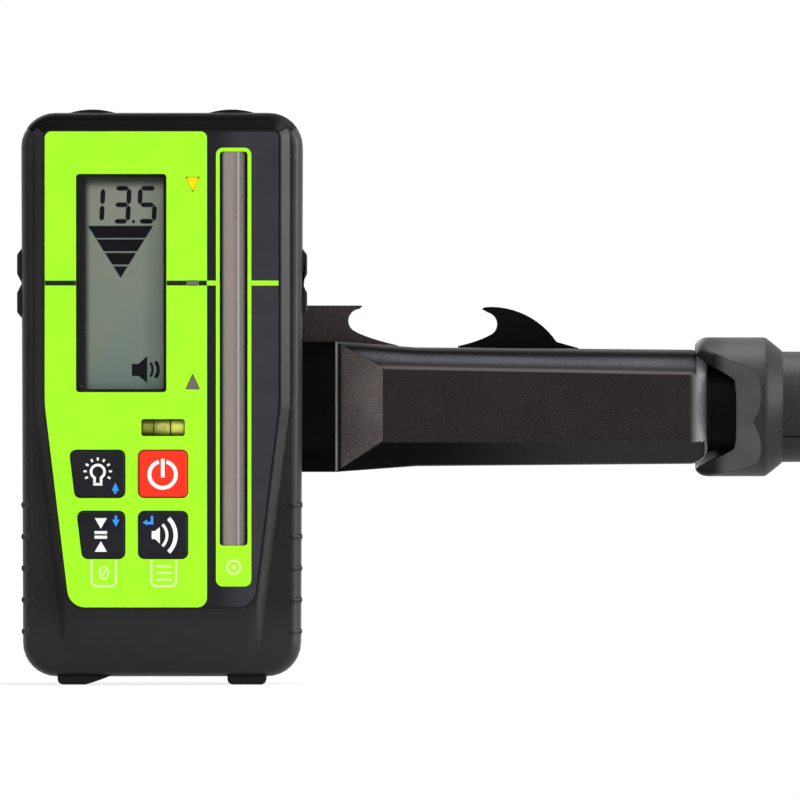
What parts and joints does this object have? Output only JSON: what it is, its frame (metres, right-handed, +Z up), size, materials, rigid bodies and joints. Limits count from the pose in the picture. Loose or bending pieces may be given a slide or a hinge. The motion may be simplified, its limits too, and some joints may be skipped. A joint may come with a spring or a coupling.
{
  "type": "laser receiver",
  "caption": "Handheld laser receiver with a display, keypad and tall sensor window, on a bracket arm whose screw-driven jaw clamps a levelling staff.",
  "frame": {"origin": "middle of the fixed jaw's gripping face, where the staff's edge is held", "axes": "+X along the bracket arm towards the knob, out of the fixed jaw's face; +Y from the receiver's face to its back; +Z up"},
  "size_m": [0.245, 0.0766, 0.1694],
  "materials": {
    "case_plastic": "finely textured moulded plastic",
    "bracket_plastic": "glass-filled moulded plastic, slightly grained",
    "knob_plastic": "soft-touch moulded plastic",
    "rubber": "moulded rubber",
    "overlay_film": "satin film",
    "label_film": "satin lime film",
    "dark_key": "satin key with printed icon",
    "red_key": "satin key with printed icon",
    "clear_lens": "clear polished plastic",
    "sensor_tint": "smoke-tinted polished plastic",
    "display_glass": "grey-green reflective display",
    "light_pipe": "clear light pipe",
    "vial_fluid": "acrylic vial with yellow-green fluid",
    "inner_plastic": "plain moulded plastic",
    "circuit_board": "solder-masked laminate",
    "cell_can": "printed can",
    "brass": "turned brass",
    "steel": "zinc-plated steel"
  },
  "bodies": {
    "receiver": {"front_shell": "case_plastic", "rear_shell": "case_plastic", "case_gasket": "rubber", "case_screws": "steel", "face_overlay": "overlay_film", "keypad_label": "label_film", "window_label": "label_film", "display_lens": "clear_lens", "display_frame": "inner_plastic", "display_panel": "display_glass", "sensor_lens": "sensor_tint", "sensor_board": "circuit_board", "photodiodes": "circuit_board", "main_board": "circuit_board", "board_screws": "steel", "key_switches": "inner_plastic", "indicator_leds": "light_pipe", "indicator_lenses": "light_pipe", "level_vial": "vial_fluid", "sounder": "inner_plastic", "left_grade_pad": "rubber", "right_grade_pad": "rubber", "top_bumpers": "rubber", "feet": "rubber", "battery_tray": "inner_plastic", "battery_cells": "cell_can", "battery_contacts": "brass", "door_pin": "steel", "threaded_insert": "brass", "locating_pins": "steel", "bracket_arm": "bracket_plastic", "arm_cover": "bracket_plastic", "cover_screws": "steel", "fixed_jaw_pad": "rubber", "spindle_bush": "brass"},
    "light_key": {"light_key": "dark_key"},
    "power_key": {"power_key": "red_key"},
    "zero_key": {"zero_key": "dark_key"},
    "sound_key": {"sound_key": "dark_key"},
    "battery_door": {"battery_door": "case_plastic", "door_seal": "rubber"},
    "clamp_knob": {"clamp_knob": "knob_plastic", "spindle": "steel", "thrust_washer": "steel", "knob_insert": "brass"},
    "sliding_jaw": {"sliding_jaw": "bracket_plastic", "sliding_jaw_pad": "rubber", "jaw_carriage": "bracket_plastic", "jaw_nut": "brass", "jaw_screws": "steel"},
    "bracket_screw": {"bracket_screw": "knob_plastic", "screw_washer": "steel"}
  },
  "joints": [
    {"name": "light_key_press", "type": "slide", "parent": "receiver", "child": "light_key", "axis": [0, 1, 0], "range_m": [0, 0.0008], "stiffness_N_per_m": 400},
    {"name": "power_key_press", "type": "slide", "parent": "receiver", "child": "power_key", "axis": [0, 1, 0], "range_m": [0, 0.0008], "stiffness_N_per_m": 400},
    {"name": "zero_key_press", "type": "slide", "parent": "receiver", "child": "zero_key", "axis": [0, 1, 0], "range_m": [0, 0.0008], "stiffness_N_per_m": 400},
    {"name": "sound_key_press", "type": "slide", "parent": "receiver", "child": "sound_key", "axis": [0, 1, 0], "range_m": [0, 0.0008], "stiffness_N_per_m": 400},
    {"name": "door_swing", "type": "hinge", "parent": "receiver", "child": "battery_door", "pos_m": [-0.0571, -0.03625, -0.0168], "axis": [1, 0, 0], "range_deg": [0, 85]},
    {"name": "knob_turn", "type": "hinge", "parent": "receiver", "child": "clamp_knob", "pos_m": [0.1041, -0.02275, 0], "axis": [1, 0, 0], "range_deg": [-1440, 2700]},
    {"name": "jaw_slide", "type": "slide", "parent": "receiver", "child": "sliding_jaw", "axis": [1, 0, 0], "range_m": [-0.0161, 0.0301]},
    {"name": "bracket_screw_turn", "type": "hinge", "parent": "receiver", "child": "bracket_screw", "pos_m": [-0.0571, -0.02475, 0], "axis": [0, 1, 0], "continuous": true}
  ],
  "couplings": [
    {"joint": "jaw_slide", "follows": "knob_turn", "m_per_rad": 0.00063662}
  ]
}
